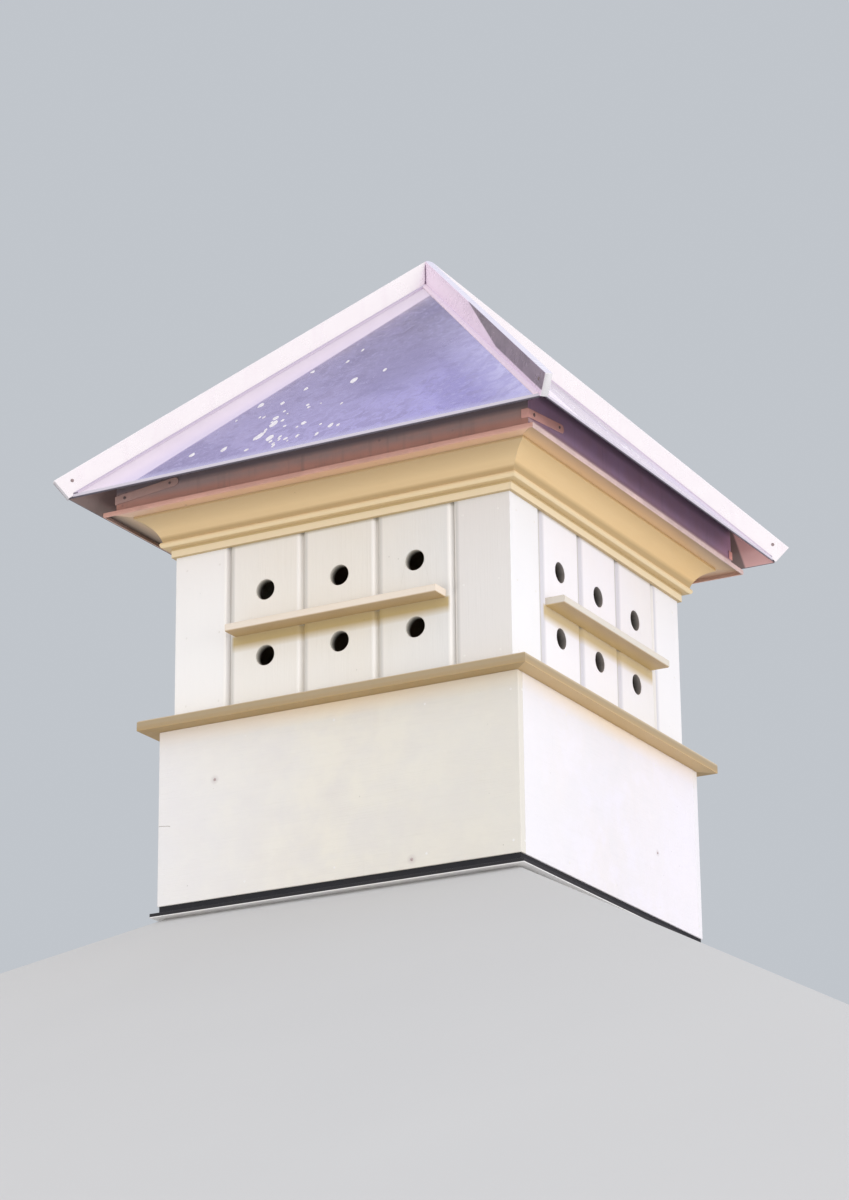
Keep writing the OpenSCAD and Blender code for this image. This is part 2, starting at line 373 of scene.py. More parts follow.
# ---------------------------------------------------------------- floor
def build_floor():
    """A pale ground that slopes away from the foot like a hipped roof, then lies flat at the ground's level."""
    top = BASE - 0.012                           # ends under the foot
    drop = 3.2
    pitch = math.radians(29)
    run = drop / math.tan(pitch)
    reach = 60.0                                 # of the flat ground
    corners = ((-1, -1), (1, -1), (1, 1), (-1, 1))
    bm = bmesh.new()
    loops = [[bm.verts.new((sx * half, sy * half, z)) for sx, sy in corners]
             for half, z in ((top, 0.0), (top + run, -drop), (reach, -drop))]
    bm.faces.new(loops[0])
    for inner, outer in zip(loops, loops[1:]):
        for i in range(4):
            j = (i + 1) % 4
            bm.faces.new((inner[i], outer[i], outer[j], inner[j]))
    bmesh.ops.recalc_face_normals(bm, faces=bm.faces)
    mesh = bpy.data.meshes.new("floor")
    bm.to_mesh(mesh)
    bm.free()
    floor = bpy.data.objects.new("floor", mesh)
    scene.collection.objects.link(floor)
    f = Finish("pale_floor")
    tone = f.noise(1.3, 3, 0.5)
    c = f.mix(tone, (0.60, 0.60, 0.60), (0.64, 0.64, 0.635))
    # painted shade for the camera only: to the camera, the slope beside the key lamp would look white
    x, y, _ = f.axes()
    beside_lamp = f.fit(f.minus(x, f.size(y)), 0.0, 0.01)
    seen = f.add("ShaderNodeLightPath").outputs["Is Camera Ray"]
    c = f.mix(f.times(beside_lamp, seen), c, (0.46, 0.46, 0.46))
    floor.data.materials.append(f.set(color=c, rough=0.9, specular=0.1))


build_floor()


# ---------------------------------------------------------------- light
def build_world():
    """A soft dome. What metal mirrors is bright at the right and above, with a dim band of surroundings."""
    world = bpy.data.worlds.new("dome")
    world.use_nodes = True
    scene.world = world
    f = Shader(world.node_tree)
    x, y, z = f.axes(f.add("ShaderNodeTexCoord").outputs["Generated"])
    level = f.math("MAXIMUM", f.math("SQRT", f.minus(1.0, f.math("MULTIPLY", z, z))), 0.001)

    def toward(east, north):
        """How far a ray's level direction points along another."""
        along = f.math("ADD", f.math("MULTIPLY", x, east), f.math("MULTIPLY", y, north))
        return f.math("DIVIDE", along, level)

    open_side = f.fit(toward(0.87, -0.50), 0.45, 0.85, smooth=True)
    behind = f.fit(toward(0.0, 1.0), 0.05, 0.45, smooth=True)
    # an opening behind, which the right roof panel mirrors at a grazing angle to the camera
    gap = f.times(f.fit(toward(-0.35, 0.937), 0.90, 0.97, smooth=True), f.fit(z, 0.28, 0.38, smooth=True))
    around = f.mix(behind, (0.085, 0.075, 0.080), (0.24, 0.22, 0.26))
    around = f.mix(gap, around, (1.12, 1.08, 1.12))
    sky = f.mix(f.fit(z, 0.55, 0.95), (0.62, 0.62, 0.88), (0.57, 0.58, 0.80))
    around = f.mix(f.fit(z, 0.46, 0.64, smooth=True), around, sky)
    around = f.mix(f.times(open_side, f.fit(z, 0.75, 0.95, 1.0, 0.0)), around, (1.05, 1.0, 1.02))
    mirrored = f.mix(f.fit(z, -0.10, 0.03, 1.0, 0.0, smooth=True), around, (0.50, 0.44, 0.42))
    diffuse = f.mix(f.fit(z, -0.2, 0.7, smooth=True), (0.60, 0.56, 0.52), (0.93, 0.95, 1.0))
    diffuse = f.mix(f.times(open_side, 0.55), diffuse, (1.15, 1.13, 1.13))
    ray = f.add("ShaderNodeLightPath").outputs
    light = f.mix(ray["Is Glossy Ray"], diffuse, mirrored)
    color = f.mix(ray["Is Camera Ray"], light, (0.53, 0.56, 0.60))
    shader = f.add("ShaderNodeBackground")
    f.put(color, shader.inputs["Color"])
    out = f.add("ShaderNodeOutputWorld")
    f.tree.links.new(shader.outputs[0], out.inputs["Surface"])


build_world()


MIDDLE = Vector((0, 0, 0.6))


def area_lamp(name, at, size, watts, color):
    """A round lamp toward the cupola's middle, which metal doesn't mirror."""
    data = bpy.data.lights.new(name, "AREA")
    data.shape = "DISK"
    data.size = size
    data.energy = watts
    data.color = color
    lamp = bpy.data.objects.new(name, data)
    lamp.visible_glossy = False
    scene.collection.objects.link(lamp)
    lamp.location = at
    lamp.rotation_mode = "QUATERNION"
    lamp.rotation_quaternion = (MIDDLE - Vector(at)).to_track_quat("-Z", "Y")


area_lamp("key", (7.0, -1.9, 0.3), 3.5, 185, (0.99, 0.98, 1.0))
area_lamp("fill", (-4.0, -6.5, -1.2), 4.0, 125, (1.0, 0.97, 0.93))


# ---------------------------------------------------------------- paints of each kind of piece
CREAM = (0.815, 0.785, 0.725)
CREAM_DIRT = (0.46, 0.41, 0.31)
WHITE = (0.87, 0.845, 0.885)
WHITE_DIRT = (0.54, 0.52, 0.52)
YELLOW = (0.83, 0.62, 0.345)
YELLOW_DIRT = (0.42, 0.28, 0.11)
LEDGE = (0.44, 0.325, 0.185)
BARE_WOOD = (0.50, 0.43, 0.33)
PALE_FOOT = (1.0, 0.965, 0.91)
PERCH_COLOR = [(0.87, 0.775, 0.665), (0.77, 0.725, 0.65), (0.80, 0.72, 0.60), (0.80, 0.72, 0.60)]
ALONG = ["x", "y", "x", "y"]                     # the direction of a side's boards


def joint_highlight_and_shade(f, c, u, side, on=1.0):
    """A painted highlight at the left of each groove and joint, and painted shade at its right."""
    for line in JOINTS:
        if side == 1:
            c = f.mix(f.times(f.near(u, line + 0.0045, 0.0030, 0.0110), 0.65, on), c, (0.56, 0.55, 0.61))
        else:
            c = f.mix(f.times(f.near(u, line - 0.0070, 0.0018, 0.0040), 0.85, on), c, (0.99, 0.965, 0.93))
            c = f.mix(f.times(f.near(u, line + 0.0065, 0.0030, 0.0050), 0.60, on), c, (0.56, 0.54, 0.51))
    return c


def pale_foot(f, z):
    """The mask of the pale foot of the walls and corner boards."""
    return f.fit(z, NEST_Z, NEST_Z + 0.014, 0.9, 0.0)


def wall_marks(side):
    """Tones across the wall, painted light making its lower part lighter, painted highlight and shade at the joints,
    painted warm shade under the perch, a painted shadow line under the crown, and the insides of the holes darkening
    with depth as painted shade.
    """
    left, right = ((0.95, 0.92, 0.88), (0.77, 0.79, 0.82)) if side == 0 else ((0.97, 0.965, 0.99), (0.84, 0.81, 0.77))
    shade, strength = ((0.58, 0.42, 0.13), 0.78) if side == 1 else ((0.49, 0.345, 0.09), 0.82)
    rim = (0.30, 0.275, 0.26) if side == 1 else (0.72, 0.69, 0.62)

    def marks(f, c):
        u, d, z = f.around(side)
        # painted light: the wall lighter toward its foot, away from the eave's shade
        c = f.mix(f.fit(z, NEST_Z, PERCH_Z - 0.03, 0.55, 0.0), c, (0.90, 0.89, 0.88))
        c = f.mix(f.fit(u, -FIELD, 0.02, 0.5, 0.0), c, left)
        c = f.mix(f.fit(u, 0.04, FIELD, 0.0, 0.5), c, right)
        c = f.mix(pale_foot(f, z), c, PALE_FOOT)
        c = joint_highlight_and_shade(f, c, u, side)
        # a thin line of painted shade in each groove and joint
        for line in JOINTS:
            c = f.mix(f.near(u, line + 0.0016, 0.0014, 0.0010), c, (0.64, 0.62, 0.59))
        # painted warm shade on the wall under the perch
        under = f.times(f.fit(z, PERCH_Z - 0.032, PERCH_Z - 0.015),
                        f.fit(z, PERCH_Z - 0.001, PERCH_Z + 0.004, 1.0, 0.0))
        length = f.near(u, 0.0, PERCH + 0.004, 0.006)
        c = f.mix(f.times(under, length, strength), c, shade)
        # a painted shadow line under the crown
        c = f.mix(f.fit(z, CROWN_Z - 0.006, CROWN_Z - 0.001, 0.0, 0.5), c, (0.40, 0.33, 0.20))
        # the insides of the holes: painted shade, darker with depth and darker on the right side
        aside = f.size(u)
        across = f.math("MINIMUM", aside, f.size(f.minus(aside, FIELD * 2 / 3)))
        row = f.size(f.minus(f.size(f.minus(z, HOLE_Z)), HALF_ROW_GAP))
        inside = f.times(f.fit(f.far(across, row), HOLE_R, HOLE_R + 0.0007, 1.0, 0.0),
                         f.fit(d, NEST - 0.0012, NEST - 0.0006, 1.0, 0.0))
        return f.mix(inside, c, f.mix(f.fit(d, NEST - 0.017, NEST - 0.002), (0.075, 0.066, 0.055), rim))
    return marks


# The nails of each side's base panel, as (along the panel, height, radius of the stain)
STAINS = [[(-0.2565, 0.2485, 0.010), (0.1598, 0.038, 0.011)], [(0.186, 0.150, 0.008)],
          [(-0.115, 0.135, 0.009)], [(0.205, 0.205, 0.008)]]


def base_marks(side):
    """Faint blotches, a painted warm glow of bounce light under the ledge, a paler left part, and stains round the
    nails.
    """
    cream, white = ((0.88, 0.84, 0.73), (0.76, 0.725, 0.70)), ((0.90, 0.87, 0.96), (0.82, 0.81, 0.84))
    pale, dull = cream if side in (0, 3) else white
    right = (0.77, 0.745, 0.68) if side == 0 else (0.93, 0.90, 0.97)

    def marks(f, c):
        u, _, z = f.around(side)
        patch = f.noise(17, 3, 0.55)
        c = f.mix(f.fit(patch, 0.50, 0.66, 0.0, 0.45), c, pale)
        c = f.mix(f.fit(patch, 0.34, 0.50, 0.35, 0.0), c, dull)
        # painted warm bounce light from the ledge on the panel just under it
        c = f.mix(f.fit(z, LEDGE_Z - 0.034, LEDGE_Z - 0.002, 0.0, 0.85), c, (1.0, 0.83, 0.60))
        c = f.mix(f.fit(u, -0.38, 0.0, 0.6, 0.0), c, (0.90, 0.89, 0.92))
        c = f.mix(f.fit(u, 0.0, 0.38, 0.0, 0.6), c, right)
        for at, height, radius in STAINS[side]:
            away = f.far(f.minus(u, at), f.minus(z, height))
            c = f.mix(f.fit(away, radius * 0.25, radius, 0.42, 0.0), c, (0.50, 0.43, 0.43))
        return c
    return marks


def crown_marks(side):
    """Painted highlights on the fillet and bead, painted shadow lines beside them and along the foot, and a richer cove
    with painted shade darkening it upward.
    """
    rich = (0.87, 0.625, 0.325) if side == 1 else (0.78, 0.59, 0.335)
    cove_foot = (0.0365, 0.0028, 0.0075) if side == 1 else (0.0340, 0.0018, 0.0055)

    def marks(f, c):
        u, _, z = f.around(side)
        up = f.minus(z, CROWN_Z)
        c = f.mix(f.fit(up, 0.034, 0.040, 0.0, 0.7), c, rich)
        if side == 1:
            c = f.mix(f.fit(u, 0.0, 0.35, 0.0, 0.5), c, (0.84, 0.565, 0.26))
            # painted shade darkening the upper cove
            c = f.mix(f.fit(up, 0.060, 0.078, 0.0, 0.4), c, (0.74, 0.51, 0.23))
        else:
            # painted shade darkening the upper cove
            c = f.mix(f.fit(up, 0.050, 0.074, 0.0, 0.75), c, (0.53, 0.385, 0.215))
        # painted highlights on the fillet and the bead
        c = f.mix(f.near(up, 0.0070, 0.0065, 0.001), c, (0.88, 0.74, 0.51))
        c = f.mix(f.near(up, 0.0240, 0.0055, 0.001), c, (0.87, 0.70, 0.44))
        # painted shadow lines beside the bead and at the foot of the cove
        c = f.mix(f.near(up, 0.0160, 0.0016, 0.0010), c, (0.62, 0.47, 0.25))
        c = f.mix(f.near(up, *cove_foot), c, (0.55, 0.395, 0.20))
        # a painted shadow line along the foot of the crown
        return f.mix(f.fit(up, 0.0, 0.0016, 0.6, 0.0), c, (0.44, 0.31, 0.13))
    return marks


def ledge_marks(side):
    """A painted highlight along the rounded upper edge, a band of painted shade across the rounded face and painted
    shade on the underside, lighter on the right side.
    """
    under = (0.64, 0.45, 0.22) if side == 1 else (0.47, 0.32, 0.145)
    highlight_from = 0.0125 if side == 1 else 0.0160

    def marks(f, c):
        up = f.minus(f.axes()[2], LEDGE_Z)
        # a band of painted shade across the rounded face
        c = f.mix(f.near(up, 0.0120, 0.0020, 0.004), c, (0.44, 0.34, 0.21))
        # painted shade on the underside
        c = f.mix(f.fit(up, 0.0004, 0.0030, 0.9, 0.0), c, under)
        # a painted highlight on the rounded upper edge
        return f.mix(f.fit(up, highlight_from, 0.0195, 0.0, 0.8), c, (0.78, 0.69, 0.53))
    return marks


# Tones of the corner boards' faces that differ from the rest, by (corner, side)
FACE_TONES = {(3, 0): (0.97, 0.955, 0.94), (0, 0): (0.815, 0.79, 0.765),
              (0, 1): (0.93, 0.93, 0.95), (1, 1): (0.93, 0.92, 0.94)}


def corner_marks(corner):
    """The two faces of a corner board: their tones, a pale foot, and painted highlight and shade at the joints with the
    walls.
    """
    def marks(f, c):
        for side in (corner, (corner + 1) % 4):
            u, d, z = f.around(side)
            face = f.fit(d, NEST - 0.0010, NEST - 0.0004)
            if (corner, side) in FACE_TONES:
                c = f.mix(f.times(face, 0.85), c, FACE_TONES[corner, side])
            c = f.mix(f.times(pale_foot(f, z), face), c, PALE_FOOT)
            c = joint_highlight_and_shade(f, c, u, side, face)
        return c
    return marks


def perch_marks(side):
    """A golden brown underside: painted shade and warm bounce light, lighter on the right side."""
    inner = (0.64, 0.44, 0.15) if side == 1 else (0.50, 0.335, 0.125)

    def marks(f, c):
        _, d, z = f.around(side)
        below = f.mix(f.fit(d, NEST + 0.004, NEST + 0.034), inner, (0.48, 0.325, 0.155))
        # painted shade and warm bounce light on the underside
        return f.mix(f.fit(z, PERCH_Z + 0.0004, PERCH_Z + 0.0025, 0.85, 0.0), c, below)
    return marks


def roof_tint(side):
    """Violet sheet: bluer and lighter low down at the right, a painted reflection of the cap as a pale pink strip
    beside the left hip, and a painted highlight on the drip edge with painted shadow under it.
    """
    def tint(f):
        u, d, z = f.around(side)
        c = f.mix(f.fit(d, 0.16, 0.47), (0.36, 0.305, 0.335), (0.76, 0.665, 0.83))
        c = f.mix(f.fit(u, -0.35, 0.0, 0.6, 0.0), c, (0.56, 0.47, 0.50))
        c = f.mix(f.times(f.fit(u, 0.02, 0.30), f.fit(d, 0.22, 0.40), 0.82), c, (0.71, 0.64, 1.0))
        c = f.mix(f.fit(f.mottle, 0.45, 0.60, 0.0, 0.42), c, (0.80, 0.72, 0.90))
        c = f.mix(f.fit(f.big, 0.40, 0.50, 0.45, 0.0), c, (0.38, 0.32, 0.45))
        c = f.mix(f.fit(f.speckle, 0.50, 0.66, 0.0, 0.40), c, (0.86, 0.80, 0.92))
        c = f.mix(f.fit(f.small, 0.40, 0.48, 0.30, 0.0), c, (0.40, 0.33, 0.42))
        c = f.mix(f.fit(f.streaks, 0.56, 0.74, 0.0, 0.30), c, (0.42, 0.35, 0.46))
        dim = f.times(f.near(u, 0.11, 0.03, 0.09), f.near(d, 0.31, 0.03, 0.08), 0.45)
        c = f.mix(dim, c, (0.40, 0.35, 0.45))
        hazy = f.times(f.fit(f.minus(d, u), 0.03, 0.12, 1.0, 0.0), f.fit(d, 0.12, 0.38, 0.05, 1.0))
        c = f.mix(f.times(hazy, f.fit(f.streaks, 0.40, 0.60, 0.50, 1.0)), c, (0.96, 0.90, 1.0))
        c = f.mix(f.times(f.fit(f.small, 0.44, 0.56), f.fit(f.big, 0.45, 0.60), 0.45), c, (0.40, 0.33, 0.43))
        # a painted highlight along the drip edge
        c = f.mix(f.fit(d, EAVE - 0.016, EAVE - 0.004, 0.0, 0.6), c, (0.92, 0.86, 0.90))
        # a painted reflection of the left hip's cap: a pale pink strip, less metallic
        cap_reflection = f.fit(f.math("ADD", u, f.times(d, 0.87)), 0.083, 0.089, 1.0, 0.0)
        pink = f.mix(f.fit(f.math("ADD", u, d), 0.03, 0.09), (0.88, 0.78, 0.86), (0.95, 0.83, 0.94))
        c = f.mix(f.times(cap_reflection, f.fit(f.mottle, 0.35, 0.6, 1.0, 0.86)), c, pink)
        # the edge face: a painted highlight above and painted shadow below
        edge = f.fit(d, EAVE - 0.0012, EAVE - 0.0006)
        lip = f.fit(z, EAVE_Z + 0.0028, EAVE_Z + 0.0040)
        c = f.mix(edge, c, f.mix(lip, (0.13, 0.115, 0.14), (0.76, 0.71, 0.80)))
        under = f.fit(f.math("ADD", z, f.times(d, RISE)), PEAK_Z - 0.004, PEAK_Z - 0.003, 1.0, 0.0)
        below = (0.30, 0.22, 0.21)
        if side in (1, 2):                       # the pink underside at the back right corner
            beyond = f.times(u, 1.0 if side == 1 else -1.0)
            below = f.mix(f.fit(beyond, SKIRT, SKIRT + 0.004), below, (0.95, 0.58, 0.56))
        c = f.mix(f.times(under, f.fit(edge, 0.0, 1.0, 1.0, 0.0)), c, below)
        dull = f.math("MAXIMUM", edge, under)
        f.metal = f.math("MINIMUM", f.fit(dull, 0.0, 1.0, 1.0, 0.1), f.fit(cap_reflection, 0.0, 1.0, 1.0, 0.4))
        return c
    return tint


# Copper tones of the skirts, each for the front, right, back and left. The shade under the eave is painted shadow, the
# drip lip's colour is a painted highlight, and the soffit's colour is painted lighter or darker per side as painted
# light and shade.
SKIRT_LOW = [(0.70, 0.38, 0.31), (0.46, 0.28, 0.34), (0.52, 0.30, 0.30), (0.46, 0.28, 0.27)]
SKIRT_UP = [(0.58, 0.43, 0.41), (0.60, 0.42, 0.64), (0.46, 0.33, 0.36), (0.42, 0.32, 0.32)]
SHADED = [(0.29, 0.245, 0.27), (0.36, 0.26, 0.38), (0.10, 0.08, 0.10), (0.08, 0.07, 0.08)]
STRAP = [(0.99, 0.55, 0.48), (0.98, 0.50, 0.43), (0.80, 0.44, 0.40), (0.60, 0.40, 0.36)]
HEM_HIGHLIGHT = [(0.82, 0.47, 0.38), (0.93, 0.70, 0.66), (0.85, 0.58, 0.52), (0.62, 0.42, 0.36)]
SOFFIT = [(0.90, 0.58, 0.46), (0.42, 0.28, 0.19), (0.55, 0.34, 0.24), (0.09, 0.07, 0.07)]
# The heights over the ceiling where each side's shade under the eave starts and is full
SKIRT_DARK = [(0.034, 0.044), (0.064, 0.074), (0.060, 0.070), (0.036, 0.044)]


def skirt_tint(side):
    """Rust-red low down, with painted shadow turning near black under the eave, a drip lip with a painted highlight, a
    soffit painted lighter or darker per side as painted light and shade, and a salmon strap.
    """
    inner_soffit = (0.98, 0.68, 0.38) if side == 1 else (0.84, 0.60, 0.38)
    lip_shade = 0.7 if side == 0 else 0.0

    def tint(f):
        u, d, z = f.around(side)
        up = f.minus(z, CEILING_Z)
        c = f.mix(f.fit(up, 0.016, 0.028), SKIRT_LOW[side], SKIRT_UP[side])
        c = f.mix(f.fit(f.mottle, 0.42, 0.58, 0.0, 0.4), c, toned(SKIRT_LOW[side], 1.2))
        c = f.mix(f.fit(f.streaks, 0.55, 0.75, 0.0, 0.4), c, toned(SKIRT_UP[side], 0.6))
        # painted shadow under the eave
        c = f.mix(f.fit(up, *SKIRT_DARK[side]), c, SHADED[side])
        # the soffit: painted lighter or darker per side as painted light and shade
        flat = f.fit(up, -0.0012, -0.0004, 1.0, 0.0)
        c = f.mix(flat, c, f.mix(f.fit(d, CROWN - 0.004, HEM - 0.003), inner_soffit, SOFFIT[side]))
        # the drip lip: a painted highlight, with painted shade on its lower part at the front
        lip = f.times(f.fit(d, HEM - 0.0034, HEM - 0.0026), f.fit(up, 0.0, 0.0010, 1.0, 0.0))
        wear_and_lip_highlight = f.mix(f.fit(f.mottle, 0.40, 0.60), HEM_HIGHLIGHT[side], toned(HEM_HIGHLIGHT[side], 0.8))
        c = f.mix(lip, c, f.mix(f.fit(up, -0.0060, -0.0010, 0.0, lip_shade), wear_and_lip_highlight, SKIRT_LOW[side]))
        if side == 1:
            c = f.mix(f.near(up, 0.0150, 0.0020, 0.0030), c, (0.80, 0.58, 0.60))
        reach = f.math("MAXIMUM", f.size(u), d)
        strap = f.times(f.fit(reach, SKIRT + 0.0006, SKIRT + 0.0012), f.fit(up, 0.012, 0.014))
        c = f.mix(strap, c, f.mix(f.fit(f.mottle, 0.42, 0.58), STRAP[side], toned(STRAP[side], 0.85)))
        f.metal = f.fit(f.math("MAXIMUM", lip, strap), 0.0, 1.0, 0.35, 0.1)
        return c
    return tint


def cap_tint(corner):
    """Bright pink-white sheet with lilac flanges; the front right cap has a painted pink reflection on its front side,
    turning to a painted dark reflection along its lower part.
    """
    marked = corner == "front_right"

    def tint(f):
        x, y, z = f.axes()
        ax, ay = f.size(x), f.size(y)
        out = f.times(f.math("ADD", ax, ay), 0.5)
        turn = f.minus(ay, ax)
        up = f.minus(z, f.minus(PEAK_Z, f.times(out, RISE)))     # height over the hip
        c = f.mix(f.fit(f.mottle, 0.38, 0.62), (0.935, 0.90, 0.925), (0.97, 0.945, 0.96))
        c = f.mix(f.fit(f.streaks, 0.55, 0.8, 0.0, 0.3), c, (0.88, 0.79, 0.86))
        f.metal = f.times(f.fit(up, CAP_H - 0.003, CAP_H - 0.001, 1.0, 0.3), 1.0 if marked else 0.8)
        flange = f.times(f.fit(f.size(turn), 0.0112, 0.0122), f.fit(up, 0.006, 0.009, 1.0, 0.0))
        if not marked:
            return f.mix(flange, c, (0.70, 0.62, 0.74))
        # painted reflections on the front right cap's front side: pink, and dark along its lower part
        below_top = f.minus(up, f.fit(out, 0.205, 0.33, CAP_H, 0.004))
        front = f.fit(turn, 0.008, 0.010)
        dark_reflection = f.times(f.fit(below_top, 0.0, 0.003), front, f.fit(out, 0.20, 0.21))
        dark = f.mix(f.fit(f.mottle, 0.42, 0.58), (0.17, 0.13, 0.165), (0.29, 0.225, 0.275))
        c = f.mix(f.times(front, 0.9), c, (1.0, 0.80, 0.97))
        c = f.mix(dark_reflection, c, dark)
        f.metal = f.times(f.metal, f.fit(dark_reflection, 0.0, 1.0, 0.8, 0.25), f.fit(front, 0.0, 1.0, 1.0, 0.5),
                          f.fit(flange, 0.0, 1.0, 1.0, 0.1))
        return f.mix(flange, c, (0.99, 0.80, 0.90))
    return tint


for i, side in enumerate(SIDES):
    # creamier paint on the front and left, whiter on the right and back: partly the paint's own tone, partly painted
    # light for the sunlit sides
    body, dirt = (WHITE, WHITE_DIRT) if side in ("right", "back") else (CREAM, CREAM_DIRT)
    along = ALONG[i]
    give("base_panel_" + side, paint("panel_paint_" + side, body, dirt, along, i + 0.3,
                                     streak=0.10, soil_and_shade=0.12, marks=base_marks(i)), 0.0012)
    # the walls' paint is 7 % lighter than the base panels': painted light against the eave's shade
    give("nest_wall_" + side, paint("wall_paint_" + side, toned(body, 1.07), dirt, "z", i + 2.1,
                                    streak=0.10, marks=wall_marks(i)), 0.0008)
    # the right ledge's paint is 8 % lighter: painted light on the sunlit side
    ledge = toned(LEDGE, 1.08) if side == "right" else LEDGE
    give("ledge_" + side, paint("ledge_paint_" + side, ledge, (0.26, 0.18, 0.09), along, i + 4.7,
                                streak=0.2, wear=0.3, marks=ledge_marks(i)))
    give("perch_" + side, paint("perch_paint_" + side, PERCH_COLOR[i], (0.40, 0.31, 0.18), along, i + 6.2,
                                streak=0.15, wear=0.4, marks=perch_marks(i)))
    give("crown_" + side, paint("crown_paint_" + side, YELLOW, YELLOW_DIRT, along, i + 8.4,
                                rough=0.45, streak=0.10, wear=0.15, soil_and_shade=0.15, marks=crown_marks(i)))
    give("foot_strip_" + side, paint("strip_" + side, (0.02, 0.021, 0.026), (0.05, 0.045, 0.04), along, i,
                                     rough=0.7, warm=(0.028, 0.027, 0.03), wear=0.0))
    give("roof_panel_" + side, sheet("roof_copper_" + side, roof_tint(i), i + 1.0, 0.15, spots=0.15, ripple=0.3))
    give("skirt_" + side, sheet("skirt_copper_" + side, skirt_tint(i), i + 5.0, 0.34, soil_and_shade=0.28), 0.0006)

for i, corner in enumerate(CORNERS):
    give("corner_board_" + corner, paint("corner_paint_" + corner, (0.875, 0.855, 0.84), (0.50, 0.47, 0.42), "z",
                                         i + 11.3, streak=0.12, marks=corner_marks(i)), 0.0012)
    give("hip_cap_" + corner, sheet("cap_copper_" + corner, cap_tint(corner), i + 9.0, 0.22, spots=0.08, ripple=0.3,
                                    grain=0.00008, soil_and_shade=0.25, spot_color=(0.45, 0.35, 0.40)), 0.0008)

for node in ("nest_floor", "nest_shelf", "ceiling_board"):
    give(node, paint("ply_" + node, (0.30, 0.22, 0.14), (0.14, 0.10, 0.06), "x", 3.3, rough=0.7, wear=0.0))


def flashing_marks(f, c):
    """Painted shadow, near black, on the upper part of the outer edge."""
    x, y, z = f.axes()
    reach = f.math("MAXIMUM", f.size(x), f.size(y))
    edge_shadow = f.times(f.fit(reach, FLASHING - 0.0010, FLASHING - 0.0004), f.fit(z, 0.0012, 0.0018))
    return f.mix(edge_shadow, c, (0.035, 0.034, 0.036))


give("foot_flashing", paint("flashing_coat", (0.92, 0.91, 0.905), (0.50, 0.48, 0.45), "x", 9.1,
                            rough=0.4, soil_and_shade=0.1, wear=0.0, marks=flashing_marks), 0.0006)


# ---------------------------------------------------------------- small pieces
def plate(bm, outline, thick, place):
    """A low lens from an outline around its middle: a flat back and a slightly raised, smaller face."""
    middle = Vector((sum(p[0] for p in outline), sum(p[1] for p in outline))) / len(outline)
    rings = []
    for shrink, height in ((1.0, 0.0), (0.96, 0.6 * thick), (0.70, thick)):
        ring = [middle + (Vector(p) - middle) * shrink for p in outline]
        rings.append([bm.verts.new(place @ Vector((*p, height))) for p in ring])
    bm.faces.new(rings[0][::-1])
    bm.faces.new(rings[-1])
    for low, high in zip(rings, rings[1:]):
        for a in range(len(outline)):
            b = (a + 1) % len(outline)
            bm.faces.new((low[a], low[b], high[b], high[a]))


def blob(rng, u, v, size, points, stretch=1.0):
    """An uneven round outline."""
    start = rng.uniform(0, math.tau)
    outline = []
    for k in range(points):
        angle = start + math.tau * k / points
        outline.append((u + size * rng.uniform(0.62, 1.0) * math.cos(angle),
                        v + size * stretch * rng.uniform(0.62, 1.0) * math.sin(angle)))
    return outline


def circle(radius, points, u=0.0, v=0.0):
    """A round outline."""
    return [(u + radius * math.cos(math.tau * k / points), v + radius * math.sin(math.tau * k / points))
            for k in range(points)]


def on_roof(side):
    """From (along the eave, up the slope from the eave) to the roof surface of a side."""
    across, up_slope = Vector((1, 0, 0)), Vector((0, math.cos(SLOPE), math.sin(SLOPE)))
    face = Matrix((across, up_slope, across.cross(up_slope))).transposed().to_4x4()
    return turned(side) @ Matrix.Translation((0, -EAVE, ROOF_TOP_Z)) @ face


def on_wall(side, distance):
    """From (along the wall, up) to a vertical face of a side."""
    return turned(side) @ Matrix.Translation((0, -distance, 0)) @ Matrix.Rotation(math.radians(90), 4, "X")


MILLIMETRE = 0.001
SPREAD = 1.15                                    # makes up for the uneven outlines, which lie within their size
HEAD_IN_STAIN = 0.32                             # a nail head's size as part of its stain's
STRAP_T = 0.0020
# Spots of bird droppings, as (along the eave, distance from the axis, radius in millimetres)
FRONT_SPOTS = [
    (0.072, 0.308, 5), (0.011, 0.321, 7), (-0.046, 0.245, 4), (-0.030, 0.214, 3), (-0.119, 0.255, 5),
    (-0.100, 0.313, 5), (-0.132, 0.347, 5), (-0.186, 0.337, 7), (-0.117, 0.396, 7), (-0.110, 0.415, 8),
    (-0.076, 0.432, 4), (-0.032, 0.436, 6), (0.043, 0.465, 5), (-0.121, 0.447, 9), (-0.090, 0.462, 8),
    (-0.047, 0.477, 5), (-0.188, 0.468, 6), (-0.262, 0.463, 6), (-0.064, 0.492, 4), (0.015, 0.453, 3),
    (0.062, 0.469, 4), (-0.127, 0.452, 5), (-0.022, 0.476, 4), (0.025, 0.484, 4)]


